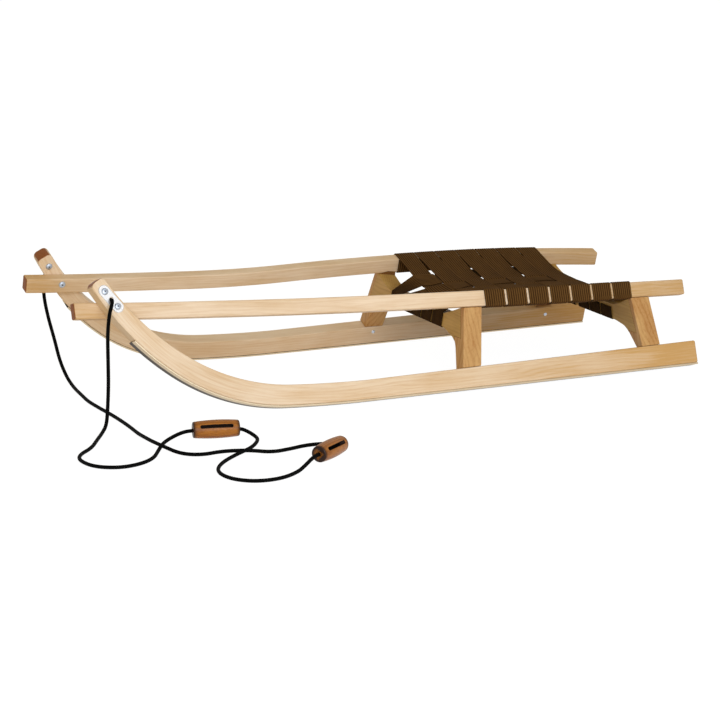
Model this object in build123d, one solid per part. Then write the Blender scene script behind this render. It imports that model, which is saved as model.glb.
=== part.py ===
from build123d import *
from math import atan, cos, degrees, radians, sin, sqrt, tan
import os

# A wooden racing sled: two bent runners that lean inwards, two seat rails bolted inside the horns,
# two yokes that carry the rails, and a woven seat of webbing. All lengths are in millimetres.
# +X points to the horns, +Y to the rider's left, +Z up. The sled stands on z = 0 and is centred on
# X and Y. Pieces of the right-hand side are drawn in the leaning side frame: x forward from the rear
# end, y up along the lean, z outwards. They are then mirrored to the left.

# Overall sizes and clearances
overall_length = 1090.0
stance_half = 188.6
lean = radians(18.28)
seat_gap = 0.3
overrun = 60.0

# Running strip and runner
strip_thickness = 3.0
strip_short = 46.0
strip_run = overall_length - strip_short
strip_end_chamfer = 2.4
runner_width = 26.6
runner_rear_height = 37.8
horn_front_radius = 9.0
horn_rear_radius = 8.0
bent_run = 476.4
straight_run = overall_length - bent_run
# Stretches of the runner's underside: run, radius of the bend (0 is straight),
# height of the wood at the middle, height of the wood at the end
runner_stretches = [
    (straight_run, 0.0, 34.5, 31.3),
    (145.4, 2380.0, 31.9, 32.9),
    (203.3, 334.0, 34.3, 32.7),
    (170.1, 450.0, 29.7, 26.6),
    (23.5, 0.0, 26.2, 25.8),
]
runner_run = sum(length for length, _, _, _ in runner_stretches)

# Seat rail: its outer face seen from above the side frame, and the height of its top
rail_width = 19.0
rail_height = 26.0
rail_bulge = 37.1
rail_bulge_x = 270.0
rail_turn_back = 470.0
rail_touch_back = 275.0
rail_turn_x = overall_length - rail_turn_back
rail_touch_x = overall_length - rail_touch_back
rail_rear_inset = 22.2
rail_rear_top = 148.2
rail_rise_back = 460.0
rail_lift_back = 190.0
rail_rise_x = overall_length - rail_rise_back
rail_lift_x = overall_length - rail_lift_back
rail_rear_slope = radians(0.95)
rail_mid_slope = radians(3.7)
rail_front_slope = radians(4.93)

# Yokes
flat_inset = 84.6
arch_flat_inset = 76.6
flat_half = stance_half - flat_inset
arch_flat_half = stance_half - arch_flat_inset
arch_share = 0.31
seat_block = 6.0
leg_post = 11.0
# Each yoke: x of its front face at the floor, lean of the plank, thickness, height of the flat of
# the top, sag of the curved part of the top, height of the arch, knee of the arch (how far inside
# the stance, z, radius), inner corner of the foot across the runner, top of the leg, and how far
# inside the stance the leg's top begins. The leg's outer part runs on up to the rail as a post.
yokes = {
    "front": (451.4, radians(9.46), 33.0, 114.8, 0.8, 93.0, (30.6, 80.5, 30.0), 0.8, 86.9, 33.6),
    "rear": (98.5, radians(-6.6), 34.4, 101.8, 3.5, 75.9, (38.6, 70.6, 40.0), 6.5, 66.0, 30.6),
}

# Webbing of the seat
strap_width = 36.4
strap_pitch = 40.4
strap_thickness = 2.0
band_thickness = 1.7
first_strap_front = 392.0
cross_strap_count = 7
# How far the middle of each lengthwise strap lies to the left
long_strap_middles = [-75.0, -31.4, 6.6, 46.4, 86.4]
# Height of the seat's middle at the front edge of each cross strap and the rear edge of the last
seat_middles = [112.9, 124.9, 124.6, 123.9, 123.1, 122.1, 120.9, 118.9]

# Plate on the horn, its bolts and the rope's hole
plate_back = 53.2
plate_x = overall_length - plate_back
plate_y = 203.4
plate_turn = radians(53.9)
plate_length = 52.0
plate_width = 18.0
plate_thickness = 1.5
plate_chamfer = 0.6
bolt_offset = 15.5
bolt_diameter = 6.0
bolt_head_diameter = 11.0
bolt_head_height = 2.6
bolt_head_chamfer = 1.0
nut_diameter = 11.5
nut_height = 3.0

# Tow rope and its grips
rope_diameter = 6.0
arc_share = 0.45
grip_length = 73.0
grip_middle_diameter = 29.0
grip_end_diameter = 25.0
grip_slot_length = 52.0
grip_slot_width = 6.0
grip_axis_height = grip_middle_diameter / 2
# Each grip: x and y of its middle, direction of its axis, turn of its slot from straight up
grips = {
    "rope_grip_1": (378.0, 299.5, 166.8, 58.0),
    "rope_grip_2": (267.0, 483.5, 217.3, 58.0),
}
# Points of the rope: from each horn's hole down to the floor and into the grips
routes = {
    "tow_rope_left": [
        (491.8, 134.3, 196.2), (492.0, 157.1, 203.8), (495.5, 164.3, 194.9), (501.0, 166.0, 181.0),
        (505.5, 169.0, 151.0), (507.0, 173.0, 112.0), (508.5, 177.0, 72.0), (512.0, 181.0, 36.0),
        (517.0, 188.0, 10.0), (531.0, 207.0, 3.0), (553.0, 244.0, 3.0), (577.0, 286.0, 3.0),
        (603.0, 323.0, 3.0), (618.0, 358.0, 3.0), (609.0, 394.0, 3.0), (580.0, 411.0, 3.0),
        (545.0, 406.0, 3.0), (513.0, 383.0, 3.0), (489.0, 345.0, 3.0), (468.0, 306.0, 4.5),
        (436.4, 285.8, 14.5), (378.0, 299.5, 14.5),
    ],
    "tow_rope_middle": [
        (378.0, 299.5, 14.5), (327.3, 311.4, 14.5), (317.0, 331.0, 6.0), (330.0, 356.0, 3.0),
        (353.0, 385.0, 3.0), (388.0, 411.0, 3.0), (425.0, 444.0, 3.0), (449.0, 478.0, 3.0),
        (456.0, 512.0, 3.0), (447.0, 545.0, 3.0), (421.0, 567.0, 3.0), (384.0, 572.0, 3.0),
        (349.0, 551.0, 3.0), (329.0, 532.0, 6.5), (309.1, 515.6, 14.5), (267.0, 483.5, 14.5),
    ],
    "tow_rope_right": [
        (491.8, -134.3, 196.2), (492.0, -157.1, 203.8), (493.5, -164.3, 194.4),
        (495.0, -166.5, 180.0), (493.5, -166.0, 151.0), (488.5, -161.5, 112.0),
        (483.0, -156.0, 74.0), (477.0, -149.0, 38.0), (470.0, -136.0, 12.0), (466.0, -112.0, 3.0),
        (470.0, -78.0, 3.0), (478.0, -38.0, 3.0), (482.5, 4.0, 3.0), (481.5, 48.0, 3.0),
        (476.0, 94.0, 3.0), (471.0, 140.0, 3.0), (471.0, 188.0, 3.0), (476.0, 236.0, 3.0),
        (480.5, 272.0, 4.5), (480.5, 303.0, 11.3), (475.5, 343.0, 11.3), (463.0, 372.0, 4.5),
        (437.0, 391.0, 4.5), (408.0, 401.0, 11.3), (370.0, 413.5, 11.3), (337.0, 421.5, 4.0),
        (303.0, 417.0, 3.0), (270.0, 407.0, 3.0), (243.0, 427.0, 7.0), (227.4, 453.3, 14.5),
        (267.0, 483.5, 14.5),
    ],
}

side_frame = Plane(
    origin=(-overall_length / 2, -stance_half, 0),
    x_dir=(1, 0, 0),
    z_dir=(0, -cos(lean), sin(lean)),
)
parts = {}


def both_sides(name, body):
    """Place a body of the side frame on the right, and its mirror image on the left."""
    placed = side_frame.location * body
    parts[f"right_{name}"] = placed
    parts[f"left_{name}"] = mirror(placed, about=Plane.XZ)


def side_pair(body):
    """A body of the side frame, placed on the right and on the left."""
    placed = side_frame.location * body
    return placed, mirror(placed, about=Plane.XZ)


def between(low, high):
    """The face between two rows of edges that run the same way."""
    ends = [Line(low[0] @ 0, high[0] @ 0), Line(low[-1] @ 1, high[-1] @ 1)]
    return make_face(Curve() + [*low, *high, *ends])


def corner_radius(before, here, after, share):
    """Radius of the bend at a corner whose arc takes a share of its shorter run."""
    run_in = Vector(here) - Vector(before)
    run_out = Vector(after) - Vector(here)
    turn = radians(run_in.get_angle(run_out))
    return share * min(run_in.length, run_out.length) / tan(turn / 2)


# The runner's lines

def underside(drop, run):
    """Edges of a line that lies `drop` below the wood of the runner, its end and its heading."""
    point = Vector(0, strip_thickness - drop)
    heading = Vector(1, 0)
    edges = []
    for length, radius, _, _ in runner_stretches:
        part = min(length, run)
        run -= part
        if part < seat_gap:
            break
        if radius:
            edge = JernArc(point, heading, radius + drop, degrees(part / radius))
        else:
            edge = Line(point, point + heading * part)
        edges.append(edge)
        point = edge @ 1
        heading = edge % 1
    return edges, point, heading


def above(run, height):
    """The point on top of the wood at a run along its underside."""
    _, point, heading = underside(0, run)
    return point + heading.rotate(Axis.Z, 90) * height


def runner_top(rise):
    """Edges along the top of the runner, lifted by `rise`."""
    edges = []
    run = 0
    last = above(run, runner_rear_height + rise)
    for length, radius, middle_height, end_height in runner_stretches:
        middle = above(run + length / 2, middle_height + rise)
        run += length
        end = above(run, end_height + rise)
        edges.append(ThreePointArc(last, middle, end) if radius else Line(last, end))
        last = end
    return edges


# The rail's lines

def arc_drop(distance, radius):
    """How far an arc has left its tangent at a distance along that tangent."""
    return radius - sqrt(radius**2 - distance**2)


def arc_slope(start, distance, radius):
    """Slope of an arc that begins at slope `start`, after a distance along the level."""
    rise = sin(start) + distance / radius
    return atan(rise / sqrt(1 - rise**2))


rail_sweep = 2 * atan(rail_bulge / (rail_touch_x - rail_bulge_x))
rail_turn_radius = (rail_touch_x - rail_turn_x) / sin(rail_sweep)
rail_bulge_radius = (rail_turn_x - rail_bulge_x) / sin(rail_sweep)
rail_rear_radius = rail_bulge_x / sin(2 * atan(rail_rear_inset / rail_bulge_x))
rail_rise_radius = rail_rise_x / (sin(rail_mid_slope) - sin(rail_rear_slope))
rail_lift_radius = (overall_length - rail_lift_x) / (sin(rail_front_slope) - sin(rail_mid_slope))


def rail_outside(x):
    """How far the rail's outer face stands outside the runner's inner face."""
    if x > rail_touch_x:
        return -seat_gap
    if x > rail_turn_x:
        return arc_drop(rail_touch_x - x, rail_turn_radius) - seat_gap
    if x > rail_bulge_x:
        return rail_bulge - seat_gap - arc_drop(x - rail_bulge_x, rail_bulge_radius)
    return rail_bulge - seat_gap - arc_drop(rail_bulge_x - x, rail_rear_radius)


def rail_top(x):
    """Height of the rail's top in the side frame."""
    slope = arc_slope(rail_rear_slope, min(x, rail_rise_x), rail_rise_radius)
    height = rail_rear_top + rail_rise_radius * (cos(rail_rear_slope) - cos(slope))
    if x > rail_rise_x:
        height += (min(x, rail_lift_x) - rail_rise_x) * tan(rail_mid_slope)
    if x > rail_lift_x:
        slope = arc_slope(rail_mid_slope, x - rail_lift_x, rail_lift_radius)
        height += rail_lift_radius * (cos(rail_mid_slope) - cos(slope))
    return height


def rail_line(curve, offset, places, straight):
    """Edges of a rail curve moved by `offset`: arcs between the places, but one straight stretch."""
    edges = []
    for number, (start, end) in enumerate(zip(places, places[1:])):
        points = [(x, curve(x) + offset) for x in (start, (start + end) / 2, end)]
        edges.append(Line(points[0], points[2]) if number == straight else ThreePointArc(*points))
    return edges


def rail_space(inside, outside, below, over):
    """The space of the rail, grown inwards, outwards, downwards and upwards."""
    side_places = [0, rail_bulge_x, rail_turn_x, rail_touch_x, overall_length]
    top_places = [0, rail_rise_x, rail_lift_x, overall_length]
    plan = between(
        rail_line(rail_outside, -rail_width - inside, side_places, 3),
        rail_line(rail_outside, outside, side_places, 3),
    )
    profile = between(
        rail_line(rail_top, -rail_height - below, top_places, 1),
        rail_line(rail_top, over, top_places, 1),
    )
    tall = extrude(Plane.XZ * plan, amount=overall_length, both=True)
    wide = extrude(profile, amount=overall_length, both=True)
    return tall & wide


# Plate, bolts and the holes that they share

def horn_place(along):
    """A point of the side frame on the plate's long axis."""
    return plate_x + along * cos(plate_turn), plate_y + along * sin(plate_turn)


def horn_pin(along, diameter, low, high):
    """A round pin or hole across the horn, from `low` to `high` outwards."""
    x, y = horn_place(along)
    return Pos(x, y, low) * extrude(Circle(diameter / 2), amount=high - low)


def horn_holes():
    """The two bolt holes and the rope's hole, through plate, horn and rail."""
    rail_back = -seat_gap - rail_width - overrun
    plate_face = runner_width + overrun
    low_bolt = horn_pin(-bolt_offset, bolt_diameter + 2 * seat_gap, rail_back, plate_face)
    high_bolt = horn_pin(bolt_offset, bolt_diameter + 2 * seat_gap, rail_back, plate_face)
    rope = horn_pin(0, rope_diameter + 2 * seat_gap, -seat_gap / 2, plate_face)
    return low_bolt + high_bolt + rope


def make_horn_fittings():
    plate = extrude(SlotOverall(plate_length, plate_width), amount=plate_thickness)
    plate = chamfer(plate.edges().group_by(Axis.Z)[-1], plate_chamfer)
    plate = Pos(plate_x, plate_y, runner_width) * Rot(0, 0, degrees(plate_turn)) * plate
    both_sides("horn_plate", plate - horn_holes())
    outer = runner_width + plate_thickness
    rail_inner = -seat_gap - rail_width
    for name, along, inner in (("rail_bolt", -bolt_offset, rail_inner), ("horn_bolt", bolt_offset, 0)):
        head = horn_pin(along, bolt_head_diameter, outer, outer + bolt_head_height)
        head = chamfer(head.edges().group_by(Axis.Z)[-1], bolt_head_chamfer)
        shank = horn_pin(along, bolt_diameter, inner - nut_height, outer)
        nut = horn_pin(along, nut_diameter, inner - nut_height, inner)
        both_sides(name, head + shank + nut)


# Runners, running strips and rails

def make_runners():
    bottom, tip, _ = underside(0, runner_run)
    top = runner_top(0)
    body = extrude(between(bottom, top), amount=runner_width)
    for corner, radius in ((tip, horn_front_radius), (top[-1] @ 1, horn_rear_radius)):
        edges = body.edges().filter_by(Axis.Z)
        body = fillet(edges.sort_by_distance(corner)[0], radius)
    both_sides("runner", body - horn_holes())


def make_running_strips():
    low, _, _ = underside(strip_thickness, strip_run)
    high, _, _ = underside(0, strip_run)
    body = extrude(between(low, high), amount=runner_width)
    rear_corner = body.edges().filter_by(Axis.Z).sort_by_distance((0, 0, 0))[0]
    both_sides("running_strip", chamfer(rear_corner, strip_end_chamfer))


def make_rails():
    body = rail_space(0, 0, 0, 0)
    both_sides("seat_rail", body - horn_holes())


# Yokes: a crosspiece that carries both rails, and a leg under each of its ends

def yoke_frame(face, tilt):
    """The plane of a yoke's front face, with its x across the sled and its y up the plank."""
    return Plane(
        origin=(face - overall_length / 2, 0, 0),
        x_dir=(0, 1, 0),
        z_dir=(cos(tilt), 0, sin(tilt)),
    )


def side_point(across, up):
    """Half-width and height of a point given across and up in the side frame."""
    return stance_half + across * cos(lean) - up * sin(lean), across * sin(lean) + up * cos(lean)


def make_yoke(end):
    face, tilt, thickness, top, sag, arch, knee, foot, leg_top, leg_inside = yokes[end]
    frame = yoke_frame(face, tilt)
    up = 1 / cos(tilt)
    seat_x = face - top * tan(tilt)
    under_rail = rail_top(seat_x) - rail_height
    seat_y, seat_z = side_point(rail_outside(seat_x) - rail_width, under_rail)
    foot_y, foot_z = side_point(foot, runner_rear_height)
    outer_low = side_point(runner_width + seat_block, 0)
    outer_high = side_point(runner_width + seat_block, under_rail + seat_block)
    knee_inset, knee_z, knee_radius = knee
    knee_y = stance_half - knee_inset
    foot_end = (foot_y - knee_y) / (knee_z - foot_z) * foot_z
    upper = [
        Line((0, top), (flat_half, top)),
        ThreePointArc(
            (flat_half, top),
            ((flat_half + seat_y) / 2, (top + seat_z) / 2 - sag),
            (seat_y, seat_z),
        ),
        Polyline((seat_y, seat_z), (seat_y, seat_z + seat_block), outer_high, outer_low),
    ]
    bend = [(0, arch), (arch_flat_half, arch), (knee_y, knee_z), (foot_y + foot_end, 0)]
    arch_radius = corner_radius(*bend[:3], arch_share)
    lower = FilletPolyline(*bend, radius=[arch_radius, knee_radius])
    closing = [Line((0, arch), (0, top)), Line((foot_y + foot_end, 0), outer_low)]
    half = make_face(Curve() + [*upper, lower, *closing])
    outline = scale(half + mirror(half, about=Plane.YZ), by=(1, up, 1))
    plank = extrude(frame * outline, amount=-thickness)
    above_rail = rail_space(seat_gap, overrun, seat_gap, overrun)
    below_leg = extrude(
        between([Line((0, -overrun), (straight_run, -overrun))], runner_top(seat_gap)[:1]),
        amount=overrun,
        both=True,
    )
    outside = Pos(overall_length / 2, 0, runner_width) * Box(
        overall_length, overall_length, overrun, align=(Align.CENTER, Align.CENTER, Align.MIN)
    )
    for cutter in (above_rail, below_leg, outside):
        for placed in side_pair(cutter):
            plank -= placed
    post = outside.moved(Location((0, 0, -leg_post)))
    for side, sign, placed_post in zip(("right", "left"), (-1, 1), side_pair(post)):
        region = Pos(sign * (stance_half - leg_inside), leg_top * up) * Rectangle(
            overall_length,
            overall_length,
            align=(Align.MIN if sign > 0 else Align.MAX, Align.MAX),
        )
        leg_space = extrude(frame * region, amount=-thickness) + placed_post
        parts[f"{side}_{end}_leg"] = plank & leg_space
        plank -= leg_space
    parts[f"{end}_crosspiece"] = plank


# Woven seat

def strap_edges(number):
    """Front and rear edge of a cross strap, from the rear end of the sled."""
    front = first_strap_front - number * strap_pitch
    return front, front - strap_width


def seat_middle(x):
    """Height of the seat's middle, from the heights at the fronts of the cross straps."""
    place = (first_strap_front - x) / strap_pitch
    number = max(0, min(int(place), cross_strap_count - 1))
    share = place - number
    return seat_middles[number] * (1 - share) + seat_middles[number + 1] * share


def rail_corner(x):
    """Half-width and height just above the inner top edge of the rail."""
    return side_point(rail_outside(x) - rail_width, rail_top(x) + seat_gap)


def seat_height(x, y):
    """Underside of the webbing: straight in from the rail's top, then an arc to the middle."""
    edge_y, edge_z = rail_corner(x)
    drop = edge_z - seat_middle(x)
    straight = (drop - edge_y * tan(lean / 2)) / (tan(lean) - tan(lean / 2))
    bend = edge_y - straight
    if abs(y) > bend:
        return edge_z - (edge_y - abs(y)) * tan(lean)
    radius = bend / sin(lean)
    return seat_middle(x) + arc_drop(abs(y), radius)


def weave(cross_number, long_number):
    """1 where the cross strap passes over the lengthwise strap, -1 where it passes under."""
    return 1 if (cross_number + long_number) % 2 else -1


weave_shift = (band_thickness + seat_gap) / 2


def cross_section(x, number, place):
    """Outline of a cross strap at one of its edges: points along the top and the underside."""
    points = []
    for long_number, middle in enumerate(long_strap_middles):
        shift = weave(number, long_number) * weave_shift
        for y in (middle - strap_width / 2, middle + strap_width / 2):
            points.append((y, seat_height(x, y) + shift))
    edge_y, edge_z = rail_corner(x)
    inset = (strap_thickness - band_thickness) / 2
    over = rail_width / 2
    tip = (edge_y + over * cos(lean), edge_z + over * sin(lean) + inset)
    corner = (edge_y, edge_z + inset)
    points = [(-tip[0], tip[1]), (-corner[0], corner[1]), *points, corner, tip]
    lower = [Vector(place, y, z) for y, z in points]
    upper = [Vector(place, y, z + band_thickness) for y, z in reversed(points)]
    return Wire.make_polygon(lower + upper, close=True)


def make_cross_straps():
    shell = rail_space(seat_gap + strap_thickness, seat_gap + strap_thickness,
                       seat_gap + strap_thickness, seat_gap + strap_thickness)
    shell -= rail_space(seat_gap, seat_gap, seat_gap, seat_gap)
    right_loops, left_loops = side_pair(shell)
    for number in range(cross_strap_count):
        front, rear = strap_edges(number)
        front_x = front - overall_length / 2
        rear_x = rear - overall_length / 2
        slab = Pos((front_x + rear_x) / 2, 0, 0) * Box(strap_width, overall_length, overall_length)
        sections = [cross_section(rear, number, rear_x), cross_section(front, number, front_x)]
        band = Solid.make_loft(sections, ruled=True)
        parts[f"cross_strap_{number + 1}"] = band + (right_loops & slab) + (left_loops & slab)


def long_section(x, y, height, lift):
    """Outline of a lengthwise strap at a place along it."""
    sides = (y - strap_width / 2, y + strap_width / 2)
    place = x - overall_length / 2
    low = [Vector(place, side, height(side) + lift) for side in sides]
    high = [point + Vector(0, 0, band_thickness) for point in reversed(low)]
    return Wire.make_polygon(low + high, close=True)


def crosspiece_corners(end):
    """The x and z of the four corners of a crosspiece's section: top, then underside."""
    face, tilt, thickness, top, _, arch, _, _, _, _ = yokes[end]
    back = Vector(-thickness * cos(tilt), 0, -thickness * sin(tilt))
    corners = []
    for height in (top, arch):
        front = Vector(face - height * tan(tilt), 0, height)
        corners.append((front, front + back))
    return corners


def crosspiece_loop(end, y):
    """The turn of a lengthwise strap round a crosspiece."""
    face, tilt, thickness, top, _, arch, _, _, _, _ = yokes[end]
    frame = yoke_frame(face, tilt)
    up = 1 / cos(tilt)
    height = (top - arch) * up
    middle = Pos(y, (top + arch) / 2 * up)
    outer = middle * Rectangle(strap_width, height + 2 * (seat_gap + strap_thickness))
    inner = middle * Rectangle(strap_width + overrun, height + 2 * seat_gap)
    grown = thickness + 2 * (seat_gap + strap_thickness)
    body = extrude(frame * outer, amount=-grown)
    hole = extrude(frame * inner, amount=-thickness - 2 * seat_gap)
    normal = frame.z_dir
    body = Pos(*(normal * (seat_gap + strap_thickness))) * body
    hole = Pos(*(normal * seat_gap)) * hole
    return body - hole


def make_long_straps():
    (front_top, _), _ = crosspiece_corners("front")
    (_, rear_top), _ = crosspiece_corners("rear")
    inset = seat_gap + (strap_thickness - band_thickness) / 2
    for long_number, y in enumerate(long_strap_middles):
        sections = [
            long_section(front_top.X, y, lambda side: front_top.Z, inset),
        ]
        for number in range(cross_strap_count):
            lift = -weave(number, long_number) * weave_shift
            for x in strap_edges(number):
                sections.append(long_section(x, y, lambda side, x=x: seat_height(x, side), lift))
        sections.append(long_section(rear_top.X, y, lambda side: rear_top.Z, inset))
        band = Solid.make_loft(sections, ruled=True)
        body = band + crosspiece_loop("front", y) + crosspiece_loop("rear", y)
        parts[f"long_strap_{long_number + 1}"] = body


# Rope and grips

def make_grips():
    for name, (x, y, turn, slot_turn) in grips.items():
        radius = grip_middle_diameter / 2
        end_radius = grip_end_diameter / 2
        half = grip_length / 2
        outline = [
            Line((0, 0), (end_radius, 0)),
            ThreePointArc((end_radius, 0), (radius, half), (end_radius, grip_length)),
            Line((end_radius, grip_length), (0, grip_length)),
            Line((0, grip_length), (0, 0)),
        ]
        profile = make_face(Curve() + outline)
        body = revolve(Plane.XZ * profile, Axis.Z)
        body = Pos(0, 0, -half) * body
        body -= Cylinder(rope_diameter / 2 + seat_gap, grip_length + overrun)
        slot = extrude(SlotOverall(grip_slot_length, grip_slot_width), amount=overrun)
        body -= Rot(0, -90, 0) * slot
        body = Rot(0, 90, 0) * body
        body = Rot(slot_turn, 0, 0) * body
        parts[name] = Pos(x, y, grip_axis_height) * Rot(0, 0, turn) * body


def make_rope():
    for name, points in routes.items():
        corners = zip(points, points[1:], points[2:])
        radii = [corner_radius(*corner, arc_share) for corner in corners]
        path = FilletPolyline(*points, radius=radii)
        section = Plane(path @ 0, z_dir=path % 0) * Circle(rope_diameter / 2)
        parts[name] = sweep(section, path=path)
        print(name, "length", round(path.length), "radii", [round(radius) for radius in radii])
        print(name, "volume", parts[name].volume, "of", section.area * path.length)


make_horn_fittings()
make_runners()
make_running_strips()
make_rails()
make_yoke("front")
make_yoke("rear")
make_cross_straps()
make_long_straps()
make_grips()
make_rope()

os.makedirs("parts", exist_ok=True)
for name, shape in parts.items():
    export_step(shape, f"parts/{name}.step")
    print(name, round(shape.volume / 1000, 1), len(shape.solids()))
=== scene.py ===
from math import atan, cos, pi, radians, sin, sqrt, tan

import bmesh
import bpy
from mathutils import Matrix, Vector


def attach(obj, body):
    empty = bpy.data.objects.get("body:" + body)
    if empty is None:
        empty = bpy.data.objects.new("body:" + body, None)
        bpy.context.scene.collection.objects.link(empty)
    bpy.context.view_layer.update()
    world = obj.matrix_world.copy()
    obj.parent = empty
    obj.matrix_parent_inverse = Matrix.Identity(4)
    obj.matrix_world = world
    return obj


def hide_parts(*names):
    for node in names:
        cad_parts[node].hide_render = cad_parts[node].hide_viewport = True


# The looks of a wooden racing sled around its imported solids. All lengths are in metres, in the
# frame of the solids: +X to the horns, +Y to the rider's left, +Z up.

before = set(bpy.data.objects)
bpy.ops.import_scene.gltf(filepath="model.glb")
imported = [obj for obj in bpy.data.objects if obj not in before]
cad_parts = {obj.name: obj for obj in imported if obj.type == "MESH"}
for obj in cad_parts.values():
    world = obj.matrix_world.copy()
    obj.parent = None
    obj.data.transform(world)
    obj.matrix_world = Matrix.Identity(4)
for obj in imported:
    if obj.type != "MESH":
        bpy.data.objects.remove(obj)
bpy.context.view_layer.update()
scene = bpy.context.scene
scene.view_settings.view_transform = "Standard"

# Sizes shared with the solids
HALF_LENGTH = 0.545
STANCE_HALF = 0.1886
LEAN = radians(18.28)
SEAT_GAP = 0.0003
STRIP_THICKNESS = 0.003
STRIP_RUN = 1.044
RUNNER_WIDTH = 0.0266
RUNNER_REAR_HEIGHT = 0.0378
# Stretches of a runner from the rear: length, radius of the bend (0 where it is straight), and the
# wood's height halfway along a bend and at the stretch's end
RUNNER_STRETCHES = [
    (0.6136, 0.0, 0.0345, 0.0313),
    (0.1454, 2.380, 0.0319, 0.0329),
    (0.2033, 0.334, 0.0343, 0.0327),
    (0.1701, 0.450, 0.0297, 0.0266),
    (0.0235, 0.0, 0.0262, 0.0258),
]
HORN_FRONT_RADIUS = 0.009
HORN_REAR_RADIUS = 0.008
RAIL_WIDTH = 0.019
RAIL_HEIGHT = 0.026
RAIL_BULGE = 0.0371
RAIL_BULGE_X = 0.270
RAIL_TURN_X = 0.620
RAIL_TOUCH_X = 0.815
RAIL_REAR_INSET = 0.0222
RAIL_REAR_TOP = 0.1482
RAIL_RISE_X = 0.630
RAIL_LIFT_X = 0.900
RAIL_REAR_SLOPE = radians(0.95)
RAIL_MID_SLOPE = radians(3.7)
RAIL_FRONT_SLOPE = radians(4.93)
RAIL_LENGTH = 1.090
# Where the rail's wood begins in the grain's own measure
RAIL_GRAIN = 3.0
# Crosspieces: x of the front face at the floor, lean, thickness, height of the top and of the arch
CROSSPIECES = {
    "front": (0.4514, radians(9.46), 0.0330, 0.1148, 0.0930),
    "rear": (0.0985, radians(-6.6), 0.0344, 0.1018, 0.0759),
}
STRAP_WIDTH = 0.0364
STRAP_PITCH = 0.0404
BAND_THICKNESS = 0.0017
STRAP_RIDE = 0.0013
FIRST_STRAP_FRONT = 0.392
CROSS_STRAPS = 7
LONG_MIDDLES = [-0.0750, -0.0314, 0.0066, 0.0464, 0.0864]
# Height of the webbing's underside on the centre line, at each pitch from the first strap's front
SEAT_MIDDLES = [0.1129, 0.1249, 0.1246, 0.1239, 0.1231, 0.1221, 0.1209, 0.1189]
PLATE_X = 1.0368
PLATE_UP = 0.2034
PLATE_TURN = radians(53.9)
PLATE_THICKNESS = 0.0015
BOLT_OFFSET = 0.0155
# Leg screws: x of each, and their height up the runner
SCREWS = {"front": 0.4285, "rear": 0.0829}
SCREW_UP = 0.026
ROPE_DIAMETER = 0.006
GRIP_LENGTH = 0.073
GRIP_MIDDLE = 0.029
GRIP_END = 0.025
GRIP_HEIGHT = 0.0145
GRIP_SLOT = (0.052, 0.006)
GRIP_BORE = 0.0066
# Grips: x and y of the middle, direction of the length, turn of the slot away from straight up
GRIPS = {
    "rope_grip_1": (0.378, 0.2995, radians(166.8), radians(58.0)),
    "rope_grip_2": (0.267, 0.4835, radians(217.3), radians(58.0)),
}
# Control points of the rope's line, each stretch from its horn or grip to the next grip
ROUTES = {
    "tow_rope_left": [
        (0.4918, 0.1343, 0.1962), (0.4920, 0.1571, 0.2038), (0.4955, 0.1643, 0.1949),
        (0.5010, 0.1660, 0.1810), (0.5055, 0.1690, 0.1510), (0.5070, 0.1730, 0.1120),
        (0.5085, 0.1770, 0.0720), (0.5120, 0.1810, 0.0360), (0.5170, 0.1880, 0.0100),
        (0.5310, 0.2070, 0.0030), (0.5530, 0.2440, 0.0030), (0.5770, 0.2860, 0.0030),
        (0.6070, 0.3160, 0.0030), (0.6185, 0.3460, 0.0030), (0.6110, 0.3890, 0.0030),
        (0.5800, 0.4110, 0.0030), (0.5450, 0.4060, 0.0030), (0.5130, 0.3830, 0.0030),
        (0.4890, 0.3410, 0.0030), (0.4665, 0.3030, 0.0038), (0.4345, 0.2858, 0.0100),
        (0.4170, 0.2903, 0.0142), (0.3780, 0.2995, 0.0145),
    ],
    "tow_rope_middle": [
        (0.3780, 0.2995, 0.0145), (0.3425, 0.3078, 0.0140), (0.3300, 0.3115, 0.0085),
        (0.3235, 0.3310, 0.0034), (0.3290, 0.3510, 0.0030), (0.3530, 0.3850, 0.0030),
        (0.3880, 0.4110, 0.0030), (0.4250, 0.4440, 0.0030), (0.4490, 0.4780, 0.0030),
        (0.4560, 0.5120, 0.0030), (0.4470, 0.5450, 0.0030), (0.4210, 0.5670, 0.0030),
        (0.3830, 0.5670, 0.0030), (0.3475, 0.5450, 0.0030), (0.3280, 0.5280, 0.0065),
        (0.3091, 0.5156, 0.0145), (0.2965, 0.5060, 0.0145), (0.2670, 0.4835, 0.0145),
    ],
    "tow_rope_right": [
        (0.4918, -0.1343, 0.1962), (0.4908, -0.1565, 0.2030), (0.4908, -0.1635, 0.1944),
        (0.4940, -0.1665, 0.1800), (0.4965, -0.1680, 0.1510), (0.4910, -0.1635, 0.1120),
        (0.4830, -0.1560, 0.0740), (0.4770, -0.1490, 0.0380), (0.4700, -0.1360, 0.0120),
        (0.4690, -0.1120, 0.0030), (0.4740, -0.0780, 0.0030), (0.4780, -0.0380, 0.0030),
        (0.4825, 0.0040, 0.0030), (0.4815, 0.0480, 0.0030), (0.4790, 0.0940, 0.0030),
        (0.4780, 0.1400, 0.0030), (0.4790, 0.1880, 0.0030), (0.4830, 0.2380, 0.0038),
        (0.4860, 0.2740, 0.0070), (0.4880, 0.3060, 0.0094), (0.4830, 0.3450, 0.0094),
        (0.4680, 0.3780, 0.0040), (0.4410, 0.3980, 0.0040), (0.4120, 0.4090, 0.0094),
        (0.3730, 0.4210, 0.0094), (0.3390, 0.4270, 0.0038), (0.3040, 0.4180, 0.0030),
        (0.2700, 0.4070, 0.0030), (0.2430, 0.4270, 0.0070), (0.2274, 0.4533, 0.0145),
        (0.2377, 0.4612, 0.0145), (0.2670, 0.4835, 0.0145),
    ],
}
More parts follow.
